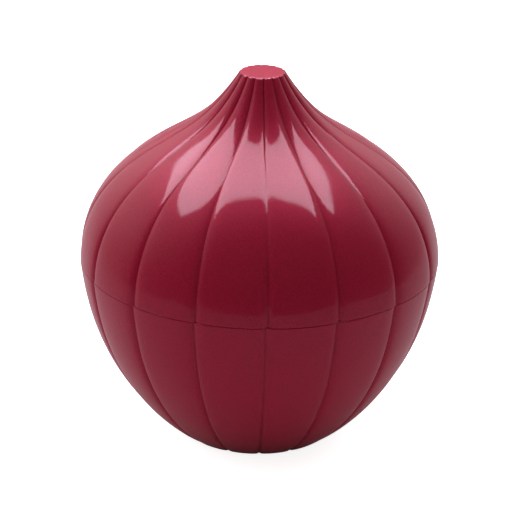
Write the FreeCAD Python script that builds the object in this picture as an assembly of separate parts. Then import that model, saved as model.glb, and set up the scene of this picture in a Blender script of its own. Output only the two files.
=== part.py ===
import FreeCAD, Part

import os
from math import cos, pi, radians, sin

from FreeCAD import Vector

# Onion keeper: a deep bowl and a domed lid that lifts off it, each moulded in one piece.
# Both are built from gores that meet in grooves and run on from the bowl over the lid
# into the fluted neck. Millimetres, +Z up, origin at the middle of the flat foot, and
# the front is towards -Y.

# Crest line of the bowl: each ring's rise above the ring below, and how far inside the
# rim the rings under it lie
FOOT_RADIUS = 26.2
FLANK_INSET = 15.5
FLANK_RISE = 16.7
HAUNCH_INSET = 3.7
HAUNCH_RISE = 23.8
RIM_RADIUS = 58.0
RIM_RISE = 19.0
FOOT_LEAN = 54.0  # degrees from upright at the foot
BOWL_RIM_LEAN = 6.0  # degrees from upright just under the rim

# Crest line of the lid, from the rim up to the flat tip of the neck
CHEEK_INSET = 5.0
CHEEK_RISE = 18.9
CROWN_INSET = 21.5
CROWN_RISE = 16.8
NECK_ROOT_RADIUS = 19.0
NECK_ROOT_RISE = 12.0
TIP_RADIUS = 7.2
TIP_RISE = 14.4
LID_RIM_LEAN = 0.0
TIP_LEAN = -32.0

# Gores and the grooves between them
GORE_COUNT = 16
BOWL_GROOVE_DEPTH = 0.8
LID_GROOVE_DEPTH = 0.9
NECK_GROOVE_DEPTH = 0.9
TIP_GROOVE_DEPTH = 0.6
SHOULDER_SHARE = 0.34  # part of a gore's half width that slopes down to its groove
TIP_SHOULDER_SHARE = 0.7  # the same at the tip, where the gores are rounded ribs
CHORD_COUNT = 4  # chords across the arc of each gore's crest
BOWL_TURN = 2.45  # degrees from the front to the bowl's first groove
LID_TURN = 0.6  # degrees that the lid sits turned on the bowl

# Walls
WALL = 2.2
FLOOR = 2.6
TIP_WALL = 2.6
EDGE_BREAK = 0.3  # bevel on the rims and round the tip

# Upstanding lip of the bowl, which the lid's rim drops over
LIP_HEIGHT = 5.0
LIP_THICKNESS = 1.6
LIP_CLEARANCE = 0.25  # between the lip and the lid all round
LIP_ROOT = 3.0  # depth of the thickened wall under the rim
LIP_TAPER = 3.0  # height over which that wall thins again
LIP_LEAD_IN = 0.5
SOCKET_RELIEF = 1.0  # space over the lip inside the lid

# Steps up each shell
BOWL_RING_COUNT = 9  # outlines from the foot to the rim
LID_RING_COUNT = 13  # outlines from the rim to the tip
BOWL_CONE_COUNT = 3  # cones that make up the inside of the bowl
LID_CONE_COUNT = 4  # cones that make up the inside of the dome and neck
OVERCUT = 1.0  # how far one shape runs into or past another that it joins or opens
PRECISION = 1e-7
FULL_TURN = 360.0

SEAM_HEIGHT = FLANK_RISE + HAUNCH_RISE + RIM_RISE
TIP_HEIGHT = SEAM_HEIGHT + CHEEK_RISE + CROWN_RISE + NECK_ROOT_RISE + TIP_RISE
LID_INNER_RADIUS = RIM_RADIUS - WALL
LIP_OUTER_RADIUS = LID_INNER_RADIUS - LIP_CLEARANCE
LIP_INNER_RADIUS = LIP_OUTER_RADIUS - LIP_THICKNESS


def polar(radius, angle, height):
    """Point at an angle from the front, positive towards +X."""
    return Vector(radius * sin(angle), -radius * cos(angle), height)


def upward(lean):
    """Direction in the XZ plane that leans outwards by so many degrees."""
    return Vector(sin(radians(lean)), 0, cos(radians(lean)))


def crest_line(rings, lean_below, lean_above):
    """Smooth upright curve through (radius, height) rings."""
    curve = Part.BSplineCurve()
    curve.interpolate(
        Points=[Vector(radius, 0, height) for radius, height in rings],
        InitialTangent=upward(lean_below),
        FinalTangent=upward(lean_above),
    )
    return curve


def bowl_crest():
    flank = FLANK_RISE
    haunch = flank + HAUNCH_RISE
    rings = [
        (FOOT_RADIUS, 0),
        (RIM_RADIUS - FLANK_INSET, flank),
        (RIM_RADIUS - HAUNCH_INSET, haunch),
        (RIM_RADIUS, SEAM_HEIGHT),
    ]
    return crest_line(rings, FOOT_LEAN, BOWL_RIM_LEAN)


def lid_crest():
    cheek = SEAM_HEIGHT + CHEEK_RISE
    crown = cheek + CROWN_RISE
    rings = [
        (RIM_RADIUS, SEAM_HEIGHT),
        (RIM_RADIUS - CHEEK_INSET, cheek),
        (RIM_RADIUS - CROWN_INSET, crown),
        (NECK_ROOT_RADIUS, crown + NECK_ROOT_RISE),
        (TIP_RADIUS, TIP_HEIGHT),
    ]
    return crest_line(rings, LID_RIM_LEAN, TIP_LEAN)


def parameter_at(curve, height):
    """Parameter where a rising curve passes a height, by halving."""
    low, high = curve.FirstParameter, curve.LastParameter
    while high - low > PRECISION:
        middle = (low + high) / 2
        if curve.value(middle).z < height:
            low = middle
        else:
            high = middle
    return low


def points_along(curve, first, last, steps):
    """Points at even steps of a curve's parameter, both ends included."""
    span = last - first
    return [curve.value(first + span * step / steps) for step in range(steps + 1)]


def inner_line(crest, steps):
    """The crest line moved inwards by the wall's thickness."""
    points = []
    span = crest.LastParameter - crest.FirstParameter
    for step in range(steps + 1):
        parameter = crest.FirstParameter + span * step / steps
        tangent = crest.tangent(parameter)[0]
        outward = Vector(tangent.z, 0, -tangent.x)
        points.append(crest.value(parameter) - outward * WALL)
    curve = Part.BSplineCurve()
    curve.interpolate(points)
    return curve


def wall_points(wall, bottom, top, bands):
    """Points up the inside of a wall between two heights."""
    return points_along(wall, parameter_at(wall, bottom), parameter_at(wall, top), bands)


def gore_ring(radius, height, depth, share, turn):
    """Corners of the outline at one height: a groove and a chorded crest to each gore."""
    half_gore = pi / GORE_COUNT
    crest_end = (1 - share) * half_gore
    corners = []
    for gore in range(GORE_COUNT):
        middle = turn + (2 * gore + 1) * half_gore
        corners.append(polar(radius - depth, middle - half_gore, height))
        for chord in range(CHORD_COUNT + 1):
            across = 2 * chord / CHORD_COUNT - 1
            corners.append(polar(radius, middle + across * crest_end, height))
    return corners


def flat_face(corners):
    return Part.Face(Part.makePolygon(corners + corners[:1]))


def patch(first, second, third, fourth):
    """Four corners closed by one flat face, or by two where they lie out of plane."""
    normal = (second - first).cross(third - first).normalize()
    if abs(normal.dot(fourth - first)) < PRECISION:
        return [flat_face([first, second, third, fourth])]
    return [flat_face([first, second, third]), flat_face([first, third, fourth])]


def gored_solid(rings):
    """Solid skinned through outlines that all have the same number of corners."""
    faces = [flat_face(rings[0]), flat_face(rings[-1])]
    for lower, upper in zip(rings, rings[1:]):
        for corner in range(len(lower)):
            before = corner - 1
            faces += patch(lower[before], lower[corner], upper[corner], upper[before])
    shell = Part.Shell(faces)
    shell.sewShape()
    return Part.Solid(shell)


def revolved(corners):
    """Full turn about the Z axis of a closed outline of (radius, height) corners."""
    points = [Vector(radius, 0, height) for radius, height in corners]
    return flat_face(points).revolve(Vector(), Vector(0, 0, 1), FULL_TURN)


def lip():
    """Ring that stands on the bowl's rim, solid to the axis until the hollow is cut."""
    bottom = SEAM_HEIGHT - OVERCUT
    top = SEAM_HEIGHT + LIP_HEIGHT
    outline = [
        (0, bottom),
        (LIP_OUTER_RADIUS, bottom),
        (LIP_OUTER_RADIUS, top - LIP_LEAD_IN),
        (LIP_OUTER_RADIUS - LIP_LEAD_IN, top),
        (0, top),
    ]
    return revolved(outline)


def bowl_hollow(crest):
    """Space inside the bowl, narrowed by the thick wall that carries the lip."""
    wall = inner_line(crest, BOWL_RING_COUNT)
    above = SEAM_HEIGHT + LIP_HEIGHT + OVERCUT
    wall_top = SEAM_HEIGHT - LIP_ROOT - LIP_TAPER
    outline = [(0, FLOOR)]
    for point in wall_points(wall, FLOOR, wall_top, BOWL_CONE_COUNT):
        outline.append((point.x, point.z))
    outline += [(LIP_INNER_RADIUS, SEAM_HEIGHT - LIP_ROOT), (LIP_INNER_RADIUS, above), (0, above)]
    return revolved(outline)


def lid_hollow(crest):
    """Space inside the lid: a straight socket for the lip, then the dome and neck."""
    wall = inner_line(crest, LID_RING_COUNT)
    below = SEAM_HEIGHT - OVERCUT
    socket_top = SEAM_HEIGHT + LIP_HEIGHT + SOCKET_RELIEF
    roof = TIP_HEIGHT - TIP_WALL
    outline = [(0, below), (LID_INNER_RADIUS, below), (LID_INNER_RADIUS, socket_top)]
    for point in wall_points(wall, socket_top, roof, LID_CONE_COUNT):
        outline.append((point.x, point.z))
    outline.append((0, roof))
    return revolved(outline)


def crest_points(crest, rings):
    return points_along(crest, crest.FirstParameter, crest.LastParameter, rings - 1)


def bowl():
    crest = bowl_crest()
    turn = radians(BOWL_TURN)
    levels = [(point.x, point.z) for point in crest_points(crest, BOWL_RING_COUNT)]
    levels[-1:] = [(RIM_RADIUS, SEAM_HEIGHT - EDGE_BREAK), (RIM_RADIUS - EDGE_BREAK, SEAM_HEIGHT)]
    rings = []
    for radius, height in levels:
        rings.append(gore_ring(radius, height, BOWL_GROOVE_DEPTH, SHOULDER_SHARE, turn))
    return gored_solid(rings).fuse(lip()).cut(bowl_hollow(crest))


def blend(low, high, start, end, height):
    """Value that runs evenly from low to high as the height goes from start to end."""
    share = min(max((height - start) / (end - start), 0), 1)
    return low + share * (high - low)


def lid_ring(radius, height):
    """Outline of the lid, whose gores close up into ribs over the neck."""
    crown = SEAM_HEIGHT + CHEEK_RISE + CROWN_RISE
    root = crown + NECK_ROOT_RISE
    depth = blend(LID_GROOVE_DEPTH, NECK_GROOVE_DEPTH, crown, root, height)
    depth = blend(depth, TIP_GROOVE_DEPTH, root, TIP_HEIGHT, height)
    share = blend(SHOULDER_SHARE, TIP_SHOULDER_SHARE, crown, TIP_HEIGHT, height)
    return gore_ring(radius, height, depth, share, radians(BOWL_TURN + LID_TURN))


def lid():
    crest = lid_crest()
    levels = [(point.x, point.z) for point in crest_points(crest, LID_RING_COUNT)]
    levels[:1] = [(RIM_RADIUS - EDGE_BREAK, SEAM_HEIGHT), (RIM_RADIUS, SEAM_HEIGHT + EDGE_BREAK)]
    levels[-1:] = [(TIP_RADIUS, TIP_HEIGHT - EDGE_BREAK), (TIP_RADIUS - EDGE_BREAK, TIP_HEIGHT)]
    rings = [lid_ring(radius, height) for radius, height in levels]
    return gored_solid(rings).cut(lid_hollow(crest))


os.makedirs("parts", exist_ok=True)
bowl().exportStep("parts/bowl.step")
lid().exportStep("parts/lid.step")
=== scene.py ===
from math import cos, pi, radians, sin, tau

import bmesh
import bpy
import numpy as np
from mathutils import Matrix, Vector


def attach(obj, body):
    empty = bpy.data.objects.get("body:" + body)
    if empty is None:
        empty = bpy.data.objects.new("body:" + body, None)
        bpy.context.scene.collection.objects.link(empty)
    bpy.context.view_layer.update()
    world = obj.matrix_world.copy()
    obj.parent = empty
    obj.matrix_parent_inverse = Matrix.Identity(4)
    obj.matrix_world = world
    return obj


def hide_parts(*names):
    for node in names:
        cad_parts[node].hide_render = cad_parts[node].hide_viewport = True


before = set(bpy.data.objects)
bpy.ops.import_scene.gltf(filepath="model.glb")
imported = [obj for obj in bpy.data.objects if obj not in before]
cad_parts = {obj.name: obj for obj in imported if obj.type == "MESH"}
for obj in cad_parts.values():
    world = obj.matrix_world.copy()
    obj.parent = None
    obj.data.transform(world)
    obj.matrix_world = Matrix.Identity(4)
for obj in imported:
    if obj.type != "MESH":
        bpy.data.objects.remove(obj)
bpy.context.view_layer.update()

# Onion keeper in glossy raspberry plastic: a lobed bowl and a lobed lid with a fluted
# neck, closed, on a white table with a white board at its back, under one large
# overhead panel. The keeper's sizes are millimetres, and the studio's are metres.
MM = 0.001
MERGE_DISTANCE = 1e-4  # points nearer to each other than this are one
CORNER_REACH = 1e-3  # how near an edge's ends lie to the corner that it belongs to

# Rings that the shells' outer curves pass through, as (radius, height)
FOOT_RADIUS = 26.2
SEAM_RADIUS = 58.0
SEAM_HEIGHT = 59.5
TIP_RADIUS = 7.2
TIP_HEIGHT = 121.6
BOWL_RINGS = [(FOOT_RADIUS, 0), (42.5, 16.7), (54.3, 40.5), (SEAM_RADIUS, SEAM_HEIGHT)]
LID_RINGS = [
    (SEAM_RADIUS, SEAM_HEIGHT), (53, 78.4), (36.5, 95.2), (19, 107.2), (TIP_RADIUS, TIP_HEIGHT),
]
BOWL_LEANS = (54, 6)  # degrees outwards from upright at the foot and at the seam
LID_LEANS = (0, -32)  # the same at the seam and at the tip

# Walls
WALL = 2.2
TIP_WALL = 2.6
FLOOR = 2.6  # height of the inside of the bowl's bottom
ROOF = TIP_HEIGHT - TIP_WALL  # height of the inside of the neck's tip
EDGE_BREAK = 0.3
EDGE_STEPS = 3

# Lip of the bowl, and the socket in the lid's rim that drops over it
LIP_HEIGHT = 5.0
LIP_THICKNESS = 1.6
LIP_CLEARANCE = 0.25  # between the lip and the socket all round
SOCKET_RELIEF = 1.0  # space over the lip
SOCKET_RADIUS = SEAM_RADIUS - WALL
LIP_OUTER = SOCKET_RADIUS - LIP_CLEARANCE
LIP_INNER = LIP_OUTER - LIP_THICKNESS
LIP_TOP = SEAM_HEIGHT + LIP_HEIGHT
SOCKET_TOP = LIP_TOP + SOCKET_RELIEF
LIP_ROOT = SEAM_HEIGHT - 3.0  # height from which the inside of the lip rises straight
LIP_TAPER = LIP_ROOT - 3.0  # height up to which the bowl's wall keeps its thickness

# Lobes
GORES = 16
STEPS_PER_GORE = 20
CURVE_STEPS = 84  # points along each outer curve
WALL_STEPS = 26  # points along each inner curve
GROOVE_CROWDING = 0.72  # how much closer the steps lie towards a groove
BOWL_TURN = 2.45  # degrees from the front to the first groove
LID_TURN = 3.05
LID_SHIFT = 0.06  # sideways, because the lid sits a little off centre on the lip
# How square a lobe's crest is before it rounds into the groove, as (height, power): the
# gores are broad, and the neck's ribs are round
LOBE_POWERS = [(102, 4.5), (110, 2.4)]
# Depths of the grooves, as (height, depth), and of the narrow crease along their bottom
BOWL_GROOVES = [(0, 0.5), (SEAM_HEIGHT, 0.5)]
LID_GROOVES = [
    (SEAM_HEIGHT, 0.5), (90, 0.55), (100, 0.7), (108, 0.95), (114, 0.95), (TIP_HEIGHT, 0.45),
]
CREASE_DEPTHS = [(0, 0.5), (75, 0.5), (90, 0.14), (TIP_HEIGHT, 0.1)]
CREASE_SHARE = 0.17  # the crease's half width as a share of half a lobe
ON_GROOVE = 0.999  # nearness from which a point is on the groove's line itself

# Pigment, from between the flecks to the brightest fleck
FLECK_SIZE = 0.5  # coarser than real pearl flakes are, so that they show
FLECK_SHARES = [0.3, 0.7]
FLECK_COLOURS = ["#831028", "#9F152F"]
GRAIN_DEPTH = 0.012

# Studio, in metres: the table ends in front of the keeper, so that its edge is mirrored
# just over the seam, and the panel's outline is what the lid mirrors under the neck
TABLE_FRONT = -0.36
TABLE_BACK = 1.1
TABLE_HALF_WIDTH = 0.4
BOARD_TOP = 0.6
PANEL_HEIGHT = 0.85
PANEL_CORNERS = [(-0.64, -0.075), (0.53, -0.085), (0.4, 0.7), (-0.68, 0.7)]
PANEL_STRENGTH = 2.35
PANEL_MIRRORED = 25.5  # added where it is mirrored, because the clear layer is thin
BRIGHT_SIDE = (-0.32, 1, 0.25)  # the air is brightest behind the keeper, a little left

# Camera, in metres and degrees, with its lens and sensor in millimetres
DISTANCE = 0.699
AIM = (0.00028, 0, 0.0573)
TILT = 23.17
ROLL = 1.02
LENS = 148.8
SENSOR = 36


def linear(code):
    """Linear colour of an sRGB hex code."""
    shares = [int(code[i:i + 2], 16) / 255 for i in (1, 3, 5)]
    return [s / 12.92 if s <= 0.04045 else ((s + 0.055) / 1.055) ** 2.4 for s in shares] + [1]


def empty_tree(owner):
    """The node tree of a material or world, without its first nodes."""
    owner.use_nodes = True
    owner.node_tree.nodes.clear()
    return owner.node_tree


def add_node(tree, kind, values=None, links=None, **settings):
    """A node with its settings, its sockets' values and the sockets it reads from."""
    made = tree.nodes.new(kind)
    for name, value in settings.items():
        setattr(made, name, value)
    for socket, value in (values or {}).items():
        made.inputs[socket].default_value = value
    for socket, source in (links or {}).items():
        tree.links.new(source, made.inputs[socket])
    return made


def add_object(name, data):
    """An object in the scene, at the origin."""
    made = bpy.data.objects.new(name, data)
    bpy.context.scene.collection.objects.link(made)
    return made


def mesh_object(mesh, name, material):
    """An object made of a bmesh, which is used up."""
    data = bpy.data.meshes.new(name)
    mesh.to_mesh(data)
    mesh.free()
    data.materials.append(material)
    return add_object(name, data)


def smooth_curve(rings, leans, steps):
    """Points of a curve through rings, with no jump in its bend, that leans as given at its
    two ends."""
    points = np.array(rings, float)
    spans = np.linalg.norm(np.diff(points, axis=0), axis=1)
    count = len(points)
    system = np.eye(count)
    pull = np.zeros((count, 2))
    pull[0], pull[-1] = [(sin(radians(lean)), cos(radians(lean))) for lean in leans]
    for i in range(1, count - 1):
        before, after = spans[i - 1], spans[i]
        system[i, i - 1:i + 2] = after, 2 * (before + after), before
        pull[i] = 3 * (
            after * (points[i] - points[i - 1]) / before
            + before * (points[i + 1] - points[i]) / after
        )
    slopes = np.linalg.solve(system, pull)
    stations = np.concatenate([[0], np.cumsum(spans)])
    curve = []
    for station in np.linspace(0, stations[-1], steps + 1):
        i = min(np.searchsorted(stations, station, "right") - 1, count - 2)
        t = (station - stations[i]) / spans[i]
        curve.append(
            (1 + 2 * t) * (1 - t) ** 2 * points[i]
            + t * (1 - t) ** 2 * spans[i] * slopes[i]
            + t * t * (3 - 2 * t) * points[i + 1]
            + t * t * (t - 1) * spans[i] * slopes[i + 1]
        )
    return np.array(curve)


def inner_curve(curve, low, high):
    """The part between two heights of a curve moved inwards by the wall."""
    slope = np.gradient(curve, axis=0)
    slope /= np.linalg.norm(slope, axis=1)[:, None]
    inside = curve - WALL * np.stack([slope[:, 1], -slope[:, 0]], axis=1)
    heights = np.linspace(low, high, WALL_STEPS)
    return [(np.interp(height, inside[:, 1], inside[:, 0]), height) for height in heights]


def spun_shell(outline, turn):
    """Full turn of an outline that starts and ends on the axis, from a groove on."""
    mesh = bmesh.new()
    start = Matrix.Rotation(radians(turn) - pi / 2, 4, "Z")
    corners = [mesh.verts.new(start @ Vector((radius, 0, height))) for radius, height in outline]
    chain = [mesh.edges.new(pair) for pair in zip(corners, corners[1:])]
    bmesh.ops.spin(
        mesh, geom=corners + chain, axis=(0, 0, 1), cent=(0, 0, 0), angle=tau,
        steps=GORES * STEPS_PER_GORE, use_merge=True,
    )
    bmesh.ops.remove_doubles(mesh, verts=mesh.verts[:], dist=MERGE_DISTANCE)
    return mesh


def is_at(vert, radius, height):
    """Whether a point lies on the ring of a radius and height."""
    off_axis = abs(vert.co.xy.length - radius)
    return abs(vert.co.z - height) < CORNER_REACH and off_axis < CORNER_REACH


def break_edges(mesh, rings):
    """Rounds the circular edges that lie at the given (radius, height) corners."""
    edges = []
    for edge in mesh.edges:
        for radius, height in rings:
            if all(is_at(vert, radius, height) for vert in edge.verts):
                edges.append(edge)
    bmesh.ops.bevel(
        mesh, geom=edges, offset=EDGE_BREAK, offset_type="OFFSET", affect="EDGES",
        segments=EDGE_STEPS, profile=0.5, material=-1,
    )


def press_lobes(mesh, curve, grooves, turn):
    """Moves the outside of a round shell in towards its grooves, which stay crisp."""
    pitch = tau / GORES
    levels, depths = zip(*grooves)
    crease_levels, crease_depths = zip(*CREASE_DEPTHS)
    power_levels, powers = zip(*LOBE_POWERS)
    in_groove = set()
    for vert in mesh.verts:
        radius = vert.co.xy.length
        height = vert.co.z
        if radius < MERGE_DISTANCE:  # on the axis, where a point has no angle
            continue
        angle = np.arctan2(vert.co.x, -vert.co.y) - radians(turn)
        gore, share = divmod(angle / pitch, 1)
        share -= GROOVE_CROWDING * sin(tau * share) / tau
        # 1 on the outside, 0 from the inside of the wall on
        outside = 1 - (np.interp(height, curve[:, 1], curve[:, 0]) - radius) / WALL
        # 0 at the middle of a gore, 1 in the groove
        nearness = abs(2 * share - 1)
        power = np.interp(height, power_levels, powers)
        lobe = nearness ** power * np.interp(height, levels, depths)
        crease = max(0, 1 - (1 - nearness) / CREASE_SHARE) ** 2
        crease *= np.interp(height, crease_levels, crease_depths)
        radius -= min(max(outside, 0), 1) * (lobe + crease)
        angle = (gore + share) * pitch + radians(turn)
        vert.co.xy = radius * sin(angle), -radius * cos(angle)
        if nearness > ON_GROOVE and outside > 0.5:
            in_groove.add(vert)
    for edge in mesh.edges:
        if in_groove.issuperset(edge.verts):
            edge.smooth = False


def finished_piece(mesh, name, node, material):
    """Makes a shell an object in metres that stands for a node of the frame."""
    bmesh.ops.recalc_face_normals(mesh, faces=mesh.faces[:])
    bmesh.ops.scale(mesh, vec=(MM, MM, MM), verts=mesh.verts[:])
    for face in mesh.faces:
        face.smooth = True
    piece = mesh_object(mesh, name, material)
    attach(piece, node)
    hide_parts(node)
    return piece


def bowl_shell(material):
    """The bowl: flat foot, lobed flank, and the lip inside its rim."""
    curve = smooth_curve(BOWL_RINGS, BOWL_LEANS, CURVE_STEPS)
    # The underside's rings keep its lobes to the edge of the foot
    outline = [(0, 0), (FOOT_RADIUS / 2, 0), (FOOT_RADIUS - 2 * WALL, 0), *curve]
    outline += [(LIP_OUTER, SEAM_HEIGHT), (LIP_OUTER, LIP_TOP)]
    outline += [(LIP_INNER, LIP_TOP), (LIP_INNER, LIP_ROOT)]
    outline += reversed(inner_curve(curve, FLOOR, LIP_TAPER))
    outline += [(FOOT_RADIUS / 2, FLOOR), (0, FLOOR)]
    mesh = spun_shell(outline, BOWL_TURN)
    lip_corners = [(LIP_OUTER, LIP_TOP), (LIP_INNER, LIP_TOP)]
    break_edges(mesh, [(FOOT_RADIUS, 0), (SEAM_RADIUS, SEAM_HEIGHT), *lip_corners])
    press_lobes(mesh, curve, BOWL_GROOVES, BOWL_TURN)
    return finished_piece(mesh, "bowl_shell", "bowl", material)


def lid_shell(material):
    """The lid: socket over the lip, lobed dome, and the fluted neck with its flat tip."""
    curve = smooth_curve(LID_RINGS, LID_LEANS, CURVE_STEPS)
    outline = [(0, ROOF)]
    outline += reversed(inner_curve(curve, SOCKET_TOP, ROOF))
    outline += [(SOCKET_RADIUS, SOCKET_TOP), (SOCKET_RADIUS, SEAM_HEIGHT), *curve]
    outline += [(TIP_RADIUS - WALL, TIP_HEIGHT), (TIP_RADIUS / 2, TIP_HEIGHT), (0, TIP_HEIGHT)]
    mesh = spun_shell(outline, LID_TURN)
    rim_corners = [(SEAM_RADIUS, SEAM_HEIGHT), (SOCKET_RADIUS, SEAM_HEIGHT)]
    break_edges(mesh, [*rim_corners, (TIP_RADIUS, TIP_HEIGHT)])
    press_lobes(mesh, curve, LID_GROOVES, LID_TURN)
    bmesh.ops.translate(mesh, vec=(LID_SHIFT, 0, 0), verts=mesh.verts[:])
    return finished_piece(mesh, "lid_shell", "lid", material)


def glossy_polypropylene():
    """Moulded polypropylene with a pearl pigment, from a polished mould: a deep raspberry
    red with a soft pink lustre, a fine grain like pores, and clear reflections over both."""
    material = bpy.data.materials.new("glossy_moulded_polypropylene")
    tree = empty_tree(material)
    place = add_node(tree, "ShaderNodeTexCoord").outputs["Object"]
    scale = 1 / (FLECK_SIZE * MM)
    flecks = add_node(
        tree, "ShaderNodeTexNoise", {"Scale": scale, "Detail": 2.0}, {"Vector": place}
    ).outputs["Fac"]
    tone = add_node(tree, "ShaderNodeValToRGB", None, {"Fac": flecks})
    for stop, share, code in zip(tone.color_ramp.elements, FLECK_SHARES, FLECK_COLOURS):
        stop.position = share
        stop.color = linear(code)
    grain = add_node(
        tree, "ShaderNodeBump", {"Strength": 1.0, "Distance": GRAIN_DEPTH * MM}, {"Height": flecks}
    ).outputs["Normal"]
    plastic = add_node(
        tree, "ShaderNodeBsdfPrincipled",
        {
            "Metallic": 0.025, "Roughness": 0.43, "IOR": 1.5, "Specular IOR Level": 0.08,
            "Specular Tint": linear("#FFBCFF"),
            "Coat Weight": 0.16, "Coat Roughness": 0.04, "Coat IOR": 1.5,
        },
        {"Base Color": tone.outputs["Color"], "Normal": grain, "Coat Normal": grain},
    )
    add_node(tree, "ShaderNodeOutputMaterial", None, {"Surface": plastic.outputs["BSDF"]})
    return material


def seen_share(tree, camera_share, mirrored_share):
    """A strength for what the camera sees directly and for what shiny pieces mirror."""
    path = add_node(tree, "ShaderNodeLightPath").outputs
    mirrored = add_node(
        tree, "ShaderNodeMath", None, {0: path["Is Glossy Ray"], 1: path["Is Transmission Ray"]},
        operation="MAXIMUM",
    )
    dimmed = add_node(
        tree, "ShaderNodeMath", {1: mirrored_share}, {0: mirrored.outputs[0]}, operation="MULTIPLY"
    )
    seen = add_node(
        tree, "ShaderNodeMath", {1: camera_share},
        {0: path["Is Camera Ray"], 2: dimmed.outputs[0]}, operation="MULTIPLY_ADD",
    )
    return seen.outputs[0]


def white_table_finish():
    """Matt white board: plain white to the eye, with a soft shadow under the keeper."""
    material = bpy.data.materials.new("matt_white_table")
    tree = empty_tree(material)
    paper = add_node(tree, "ShaderNodeBsdfDiffuse", {"Color": linear("#EEEEEE")})
    lift = add_node(
        tree, "ShaderNodeEmission", {"Color": linear("#FFFFFF")},
        {"Strength": seen_share(tree, camera_share=0.85, mirrored_share=0.02)},
    )
    both = add_node(
        tree, "ShaderNodeAddShader", None, {0: paper.outputs["BSDF"], 1: lift.outputs["Emission"]}
    )
    add_node(tree, "ShaderNodeOutputMaterial", None, {"Surface": both.outputs["Shader"]})
    return material


def stage_piece(name, corners, material):
    """One flat four-sided piece of the studio."""
    mesh = bmesh.new()
    mesh.faces.new([mesh.verts.new(corner) for corner in corners])
    piece = mesh_object(mesh, name, material)
    return piece


def white_table():
    """Table that ends in front of the keeper, with an upright board at its back."""
    finish = white_table_finish()
    half, front, back, top = TABLE_HALF_WIDTH, TABLE_FRONT, TABLE_BACK, BOARD_TOP
    table = [(-half, front, 0), (half, front, 0), (half, back, 0), (-half, back, 0)]
    board = [(-half, back, 0), (half, back, 0), (half, back, top), (-half, back, top)]
    stage_piece("white_table", table, finish)
    stage_piece("white_board", board, finish)


def overhead_panel():
    """Large soft panel above the keeper and a little behind it, off the camera's view."""
    material = bpy.data.materials.new("lit_panel")
    tree = empty_tree(material)
    mirrored = seen_share(tree, camera_share=0.0, mirrored_share=PANEL_MIRRORED)
    strength = add_node(
        tree, "ShaderNodeMath", {0: PANEL_STRENGTH}, {1: mirrored}, operation="ADD"
    )
    # Slightly cool, which gives the reflection on the lid its lilac cast
    glow = add_node(
        tree, "ShaderNodeEmission", {"Color": linear("#F6F1FF")}, {"Strength": strength.outputs[0]}
    )
    add_node(tree, "ShaderNodeOutputMaterial", None, {"Surface": glow.outputs["Emission"]})
    corners = [(x, y, PANEL_HEIGHT) for x, y in PANEL_CORNERS]
    panel = stage_piece("overhead_panel", corners, material)
    panel.visible_camera = False


def studio_air():
    """White to the eye; as light, dim in front of the table and bright behind and above."""
    world = bpy.data.worlds.new("studio_air")
    bpy.context.scene.world = world
    tree = empty_tree(world)
    towards = add_node(tree, "ShaderNodeTexCoord").outputs["Generated"]
    back = add_node(
        tree, "ShaderNodeVectorMath", {1: BRIGHT_SIDE}, {0: towards}, operation="DOT_PRODUCT"
    ).outputs["Value"]
    fill = add_node(
        tree, "ShaderNodeMapRange",
        {"From Min": -0.35, "From Max": 0.9, "To Min": 0.24, "To Max": 2.5},
        {"Value": back}, interpolation_type="SMOOTHSTEP",
    )
    height = add_node(tree, "ShaderNodeSeparateXYZ", None, {"Vector": towards}).outputs["Z"]
    rise = add_node(
        tree, "ShaderNodeMapRange",
        {"From Min": -0.05, "From Max": 0.55, "To Min": 0.4, "To Max": 1.0},
        {"Value": height}, interpolation_type="SMOOTHSTEP",
    )
    seen = seen_share(tree, camera_share=1.0, mirrored_share=0.1)
    strength = add_node(
        tree, "ShaderNodeMath", None,
        {0: fill.outputs["Result"], 1: rise.outputs["Result"], 2: seen}, operation="MULTIPLY_ADD",
    )
    air = add_node(
        tree, "ShaderNodeBackground", {"Color": linear("#FFFFFF")},
        {"Strength": strength.outputs[0]},
    )
    add_node(tree, "ShaderNodeOutputWorld", None, {"Surface": air.outputs["Background"]})


def camera():
    """Camera at the height and distance from which the keeper is seen."""
    tilt, aim = radians(TILT), Vector(AIM)
    view = bpy.data.cameras.new("camera")
    view.lens = LENS
    view.sensor_width = SENSOR
    eye = add_object("camera", view)
    place = aim + DISTANCE * Vector((0, -cos(tilt), sin(tilt)))
    facing = (aim - place).to_track_quat("-Z", "Y").to_matrix().to_4x4()
    turned = facing @ Matrix.Rotation(radians(ROLL), 4, "Z")
    eye.matrix_world = Matrix.Translation(place) @ turned
    bpy.context.scene.camera = eye


plastic = glossy_polypropylene()
bowl_shell(plastic)
lid_shell(plastic)
white_table()
overhead_panel()
studio_air()
camera()
bpy.context.scene.view_settings.view_transform = "Standard"
